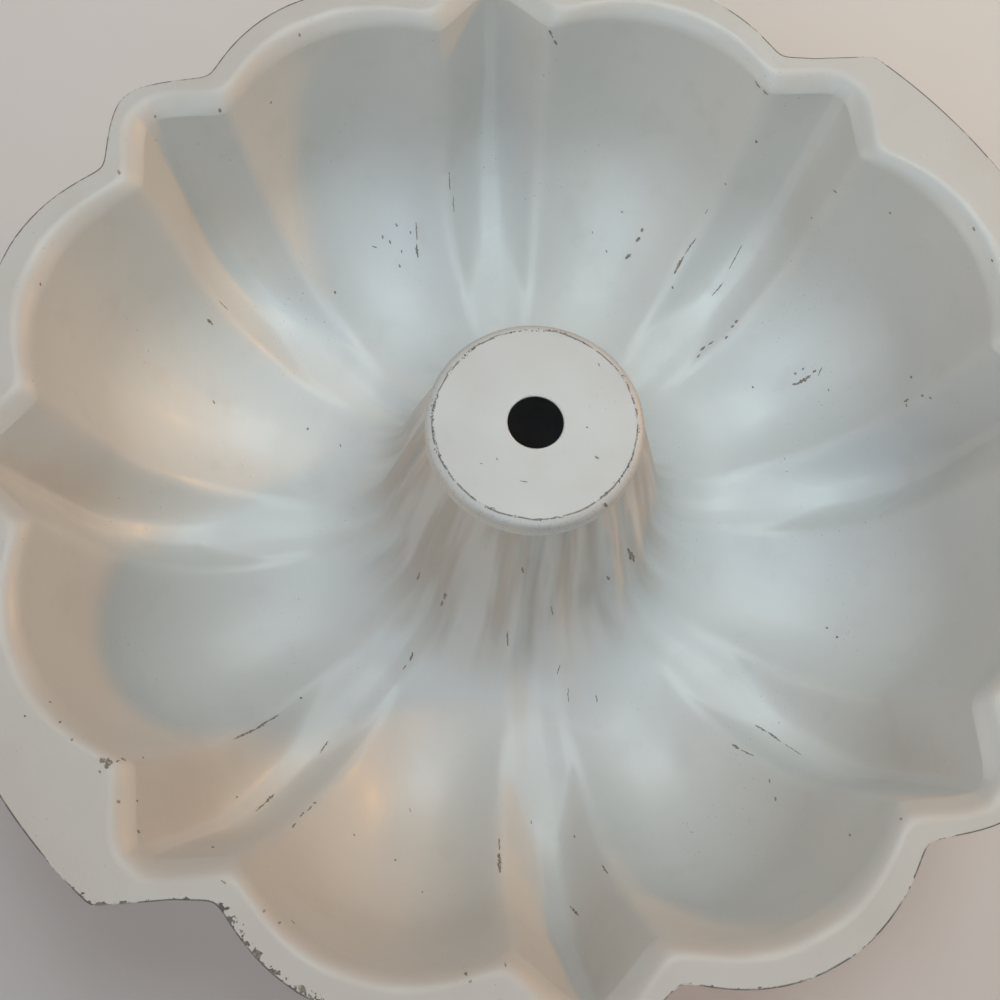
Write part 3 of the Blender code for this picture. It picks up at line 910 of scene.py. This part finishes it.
# Scars in the coating: start and end pixel in the photo, and width in metres
SCARS = (
    # far side
    (299, 33, 300, 37, 0.0007), (220, 108, 220.5, 113, 0.0010), (118, 170, 119.5, 175, 0.0009),
    (271, 101, 271, 104, 0.0007), (155, 115, 155, 118, 0.0006), (549, 30, 553, 38, 0.0008),
    (554, 40, 557, 45, 0.0007), (755, 81, 760, 88, 0.0005), (763, 90, 768, 95, 0.0005),
    (755.5, 140, 757, 143, 0.0009), (725, 183, 726, 185, 0.0005), (40, 282, 41, 286, 0.0009),
    # upper left lobes
    (207, 319, 213, 325, 0.0009), (219, 301, 228, 310, 0.0004), (334, 291, 336, 294, 0.0011),
    (307, 428, 308.5, 430, 0.0011), (213, 400, 215, 404, 0.0007), (340, 444, 341, 447, 0.0005),
    (396, 223, 397, 227, 0.0007), (382, 235, 383, 239, 0.0007), (389, 240, 391, 244, 0.0007),
    (401, 250, 402, 253, 0.0008), (399, 264, 400, 268, 0.0006), (416, 222, 417, 240, 0.0005),
    (416.5, 244, 418, 258, 0.0010), (449, 172, 450, 190, 0.0004), (453, 196, 454, 212, 0.0004),
    (372, 246, 377, 248, 0.0005), (410, 231, 411, 234, 0.0006),
    # upper right lobes and vee
    (641.5, 228, 642.5, 232, 0.0011), (636, 242, 640, 237, 0.0013), (625, 259, 631, 254, 0.0011),
    (592, 231, 593, 234, 0.0006), (621, 211, 623, 213, 0.0007), (606, 250, 607, 253, 0.0006),
    (674, 274, 684, 256, 0.0010), (685, 254, 696, 238, 0.0005), (705, 214, 708, 209, 0.0004),
    (712, 296, 723, 283, 0.0004), (729, 269, 742, 245, 0.0004), (811, 217, 812, 219, 0.0005),
    (833, 190, 837, 193, 0.0005), (889, 212, 891.5, 214, 0.0010), (973, 227, 975, 231, 0.0008),
    (991, 259, 993, 262, 0.0007), (735, 323, 738, 320, 0.0010), (731, 328, 734, 325, 0.0009),
    (725, 339, 728, 336, 0.0008), (708, 345, 714, 341, 0.0006), (700, 351, 705, 346, 0.0008),
    (697, 358, 700, 354, 0.0006), (752, 386, 754, 388, 0.0006), (672, 286, 673, 289, 0.0005),
    (792, 384.5, 800, 383, 0.0010), (799, 383, 807, 378, 0.0016), (794, 374, 797, 373, 0.0009),
    (802, 370, 804, 368, 0.0009), (806, 379, 811, 375, 0.0011), (813, 373, 816, 370, 0.0010),
    (818, 376, 822, 367, 0.0004), (828, 389, 829, 391, 0.0006), (910, 376, 912, 378, 0.0008),
    (921, 395, 924, 396, 0.0009), (929, 397, 932, 399, 0.0010), (904, 402, 909, 399, 0.0008),
    (906, 404, 907, 407, 0.0006),
    # tube
    (441, 606, 443, 601, 0.0013), (444, 599, 446, 593, 0.0013), (410, 661, 413, 652, 0.0008),
    (403, 670, 406, 665, 0.0006), (417, 580, 420, 572, 0.0007), (507, 631, 508, 646, 0.0006),
    (495.5, 655, 496, 663, 0.0004), (522, 567, 523, 573, 0.0007), (551, 606, 553, 615, 0.0005),
    (557, 674, 560, 665, 0.0004), (568, 688, 568.5, 702, 0.0003), (595.5, 695, 597, 703, 0.0005),
    (628, 548, 631, 560, 0.0010), (632, 552, 634, 562, 0.0008), (604, 503, 607, 507, 0.0010),
    (607, 576, 609, 580, 0.0008),
    # near side
    (531, 820, 531.5, 824, 0.0005), (499, 838, 499.5, 850, 0.0005), (499, 853, 500, 873, 0.0011),
    (395, 859, 396, 861, 0.0008), (409, 808, 411, 812, 0.0004), (602, 865, 608, 874, 0.0006),
    (570, 906, 579, 916, 0.0006), (574, 835, 575, 838, 0.0006), (422, 891, 423, 893, 0.0005),
    (505, 963, 505.5, 967, 0.0006), (465.5, 972, 467, 976, 0.0009), (470, 980, 471, 983, 0.0010),
    (755, 725, 767, 732, 0.0006), (768, 732, 781, 742, 0.0007), (785, 744, 801, 755, 0.0004),
    (732, 744, 739, 749, 0.0010), (741, 750, 754, 756, 0.0005), (769, 779, 770, 783, 0.0006),
    (775, 797, 776, 801, 0.0010), (826, 627, 828, 629, 0.0008), (836, 636, 838, 638, 0.0008),
    (849, 834, 851, 836, 0.0008), (900, 818, 902, 820, 0.0008),
    # near left
    (100, 758, 105, 762, 0.0016), (105, 761, 113, 763, 0.0024), (104, 765, 109, 768, 0.0012),
    (116, 762, 120, 760, 0.0005), (121, 758, 126, 761, 0.0007), (142, 757, 144, 758.5, 0.0009),
    (99, 773, 101, 771, 0.0008), (117, 800, 120, 803, 0.0010), (136, 800, 138, 802, 0.0007),
    (137, 830, 140, 833, 0.0009), (234, 739, 256, 729, 0.0007), (256, 729, 268, 721, 0.0010),
    (268, 721, 279, 715, 0.0005), (300, 699, 302, 697, 0.0009), (256, 811, 265, 803, 0.0005),
    (265, 803, 274, 794, 0.0008), (314, 804, 316, 802, 0.0011), (307, 811, 312, 806, 0.0006),
    (300, 817, 304, 812, 0.0006), (292, 828, 296, 823, 0.0005), (320, 753, 328, 741, 0.0005),
    (236, 798, 238, 796, 0.0006), (49, 701, 51, 703, 0.0008), (59.5, 721, 61, 723, 0.0007),
    (71, 739, 73, 741, 0.0009), (24, 715, 26, 717, 0.0006), (212, 846, 214, 848, 0.0007),
    (353, 834, 355, 836, 0.0006), (221, 880, 226, 884, 0.0005), (263, 910, 265, 912, 0.0010),
    (278, 924, 281, 922, 0.0006), (291, 920, 295, 924, 0.0006),
    # heaviest wear of the near left edge
    (263, 973, 270, 978, 0.0022), (270, 977, 281, 984, 0.0030), (281, 984, 287, 975, 0.0016),
    (298, 986, 306, 991, 0.0018), (250, 958, 257, 966, 0.0014),
    # cap
    (586, 427, 588, 428, 0.0006), (595, 456, 599, 459, 0.0007), (496, 458, 498, 460, 0.0004),
    (480, 463, 483, 464, 0.0004), (598, 363, 600, 366, 0.0005), (520, 481, 528, 482, 0.0003),
)
# Heavier wear along the cap's corner, from pixel to pixel
CAP_ARCS = (
    (436, 391, 437, 410, 0.0011), (434, 425, 441, 458, 0.0004), (443, 462, 464, 495, 0.0005),
    (464, 495, 484, 506, 0.0005), (485, 507, 494, 513, 0.0012), (497, 513, 530, 520, 0.0004),
    (534, 520, 550, 519, 0.0008), (552, 518, 578, 511, 0.0006), (580, 510, 596, 502, 0.0007),
    (598, 500, 612, 484, 0.0008), (621, 472, 632, 440, 0.0008), (616, 371, 628, 394, 0.0007),
    (466, 347, 484, 338, 0.0008), (488, 336, 500, 332, 0.0006), (522, 330, 546, 331, 0.0005),
    (560, 333, 578, 341, 0.0004), (441, 378, 449, 365, 0.0005), (630, 400, 633, 418, 0.0005),
)
# Share of the arcs' widths that is made
CAP_ARC_NARROWING = 0.42

# Flakes along the scars
# SCAR_LIFT is half their thickness, and SCAR_REACH is their reach to a side as a share of
# the width, before the noise makes it ragged.
SCAR_LIFT = 0.00005
SCAR_STEP = 0.00045
FINEST_SCAR = 0.00012
SCAR_REACH = 0.36
RAGGEDNESS = 1.3
BLUNTNESS = 0.1
RAGGED_STEP = 0.9
OTHER_SIDE = Vector((0, 0, 9))
SCAR_SEED_STEP = 7.3
SCAR_WAVES = 3
SCAR_LEAST_STEPS = 3
FARTHEST_STEP = 1.1

# Arcs: how far and how often they wander, and the noise that breaks them into dashes
ARC_WANDER = 0.0005
ARC_WAVES = 18
ARC_NOISE_ROW = 4
ARC_LEAST_STEPS = 4
ARC_SEED_STEP = 5.1
LONG_TRAIL = 12
SHORTEST_TRAIL = 3
DASH_SEED_STEP = 1.7
DASH_SEED_START = 0.5
DASH_WAVES = 0.33
DASH_NOISE_ROW = 5
DASH_BREAK = -0.16


def tree_of(piece):
    """Search tree of a piece's faces."""
    mesh = piece.data
    return BVHTree.FromPolygons(
        [vertex.co for vertex in mesh.vertices], [tuple(face.vertices) for face in mesh.polygons],
    )


def ragged_ribbon(flakes, trail, width, seed):
    """Add a thin ragged flake along a trail of points and normals, with ends that taper."""
    count = len(trail)
    rows = []
    for number, (point, normal) in enumerate(trail):
        before = trail[max(0, number - 1)][0]
        after = trail[min(count - 1, number + 1)][0]
        side = normal.cross(after - before).normalized()
        share = number / (count - 1)
        taper = math.sqrt(max(0.0, 4 * share * (1 - share))) * (1 - BLUNTNESS) + BLUNTNESS
        place = Vector((seed, number * RAGGED_STEP, 0.0))
        reach = SCAR_REACH * width * taper
        left, right = (
            max(reach * (1 + RAGGEDNESS * noise.noise(spot)), FINEST_SCAR / 2)
            for spot in (place, place + OTHER_SIDE)
        )
        lift = normal * SCAR_LIFT
        rows.append([
            point + side * left + lift, point - side * right + lift,
            point - side * right - lift, point + side * left - lift,
        ])
    points, faces = flakes
    start = len(points)
    points += [point for row in rows for point in row]
    for row in range(count - 1):
        first = start + 4 * row
        for corner in range(4):
            across = (corner + 1) % 4
            faces.append((first + corner, first + across, first + 4 + across, first + 4 + corner))
    faces.append((start + 3, start + 2, start + 1, start))
    last = start + 4 * (count - 1)
    faces.append((last, last + 1, last + 2, last + 3))


def seen(tree, pixel):
    """Distance, point and normal of a tree's surface at a pixel."""
    eye, way = sight(pixel)
    point, normal, _, distance = tree.ray_cast(eye, way)
    if point is None:
        return math.inf, None, None
    return distance, point, normal if normal.dot(way) < 0 else -normal


def scar_trail(trees, scar):
    """The carrier that a scar lies on, and the scar's points and normals there."""
    middle = ((scar[0] + scar[2]) / 2, (scar[1] + scar[3]) / 2)
    carrier = min(trees, key=lambda name: seen(trees[name], middle)[0])
    tree = trees[carrier]
    from_camera, first, _ = seen(tree, scar[:2])
    last = seen(tree, scar[2:4])[1]
    if first is None or last is None:
        return carrier, []
    steps = max(SCAR_LEAST_STEPS, round((first - last).length / SCAR_STEP))
    trail = []
    for step in range(steps + 1):
        share = step / steps
        jitter = noise.noise(Vector((scar[0], scar[1], share * SCAR_WAVES)))
        jitter *= math.sin(math.pi * share)
        pixel = (
            scar[0] + (scar[2] - scar[0]) * share + jitter, scar[1] + (scar[3] - scar[1]) * share,
        )
        distance, point, normal = seen(tree, pixel)
        if point is not None and distance < from_camera * FARTHEST_STEP:
            trail.append((point, normal))
    return carrier, trail


def arc_trail(arc):
    """Points and normals along the cap's corner."""
    start = azimuth_at(arc[:2], RIM_HEIGHT + CAP_RISE)
    sweep = math.remainder(azimuth_at(arc[2:4], RIM_HEIGHT + CAP_RISE) - start, 2 * math.pi)
    steps = max(ARC_LEAST_STEPS, round(abs(sweep) * WEAR_RADIUS / SCAR_STEP))
    trail = []
    for step in range(steps + 1):
        turn = start + sweep * step / steps
        wander = noise.noise(Vector((turn * ARC_WAVES, ARC_NOISE_ROW, 0)))
        radius = WEAR_RADIUS + ARC_WANDER * wander
        past_flat = max(0, radius - CAP_RADIUS + CAP_CORNER)
        rise = math.sqrt(max(0, CAP_CORNER ** 2 - past_flat ** 2))
        height = RIM_HEIGHT + CAP_RISE - CAP_CORNER + rise
        point = Vector((radius * math.cos(turn), radius * math.sin(turn), height))
        trail.append((point, Vector((0, 0, 1))))
    return trail


def broken(trail, seed):
    """A long trail broken into dashes."""
    dashes = [[]]
    for number, step in enumerate(trail):
        place = Vector((seed * DASH_SEED_STEP, number * DASH_WAVES, DASH_NOISE_ROW))
        if len(trail) < LONG_TRAIL or noise.noise(place) > DASH_BREAK:
            dashes[-1].append(step)
        else:
            dashes.append([])
    return [dash for dash in dashes if len(dash) >= SHORTEST_TRAIL]


carriers = {"bowl": bowl, "tube": tube, "cap": cap}
trees = {name: tree_of(piece) for name, piece in carriers.items()}
scar_flakes = {name: ([], []) for name in carriers}
for number, scar in enumerate(SCARS):
    carrier, trail = scar_trail(trees, scar)
    if len(trail) >= SHORTEST_TRAIL:
        ragged_ribbon(scar_flakes[carrier], trail, scar[4], number * SCAR_SEED_STEP)
for number, arc in enumerate(CAP_ARCS):
    width = arc[4] * CAP_ARC_NARROWING
    for part, dash in enumerate(broken(arc_trail(arc), number + DASH_SEED_START)):
        ragged_ribbon(scar_flakes["cap"], dash, width, number * ARC_SEED_STEP + part)
for name, (points, faces) in scar_flakes.items():
    mesh = bpy.data.meshes.new(name + "_scars")
    mesh.from_pydata(points, [], faces)
    mesh.materials.append(scar_metal)
    scars = placed(name + "_scars", mesh)
    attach(scars, BODY)

# Floor
mesh = bpy.data.meshes.new("floor")
mesh.from_pydata(
    [(-FLOOR_HALF, -FLOOR_HALF, 0), (FLOOR_HALF, -FLOOR_HALF, 0),
     (FLOOR_HALF, FLOOR_HALF, 0), (-FLOOR_HALF, FLOOR_HALF, 0)],
    [], [(0, 1, 2, 3)],
)
floor = placed("floor", mesh)
mesh.materials.append(tabletop("table"))

# Room: its faint warm light, and the backdrop that is seen or mirrored in its place
world = bpy.data.worlds.new("studio")
world.use_nodes = True
room = world.node_tree.nodes["Background"]
room.inputs["Color"].default_value = ROOM_COLOUR
room.inputs["Strength"].default_value = ROOM_STRENGTH
backdrop = world.node_tree.nodes.new("ShaderNodeBackground")
backdrop.inputs["Color"].default_value = BACKDROP_COLOUR
visible = seen_or_mirrored(world.node_tree)
mixed_into(world.node_tree, "World Output", visible, room, backdrop)
bpy.context.scene.world = world

# Lamps: name, elevation and azimuth in degrees, distance, side, power and colour
LAMPS = (
    ("warm_side", 26, -3, 1.5, 0.15, 5.2, (1.0, 0.45, 0.06)),
    ("cool_window", 52, 225, 3.0, 2.4, 26.5, (0.60, 0.81, 1.0)),
    ("fill", 22, 157, 1.5, 0.9, 3.8, (1.0, 0.88, 0.70)),
    ("low_fill", 30, 262, 1.5, 0.8, 1.5, (0.95, 1.0, 0.60)),
    ("overhead", 75, 50, 1.5, 0.6, 4.7, (0.72, 0.94, 1.0)),
    ("overhead_soft", 62, 22, 0.9, 0.7, 1.3, (0.96, 0.97, 0.88)),
)
for name, elevation, azimuth, distance, side, power, colour in LAMPS:
    lamp = bpy.data.lights.new(name, "AREA")
    lamp.size = side
    lamp.energy = power
    lamp.color = colour
    light = placed(name, lamp)
    up = math.radians(elevation)
    turn = math.radians(azimuth)
    way = Vector((math.cos(up) * math.cos(turn), math.cos(up) * math.sin(turn), math.sin(up)))
    way.normalize()
    light.location = way * distance
    light.rotation_euler = way.to_track_quat("Z", "Y").to_euler()

camera_data = bpy.data.cameras.new("camera")
camera_data.sensor_width = SENSOR
camera_data.lens = LENS
camera = placed("camera", camera_data)
camera.matrix_world = CAMERA_PLACE
bpy.context.scene.camera = camera
bpy.context.scene.view_settings.view_transform = "Standard"
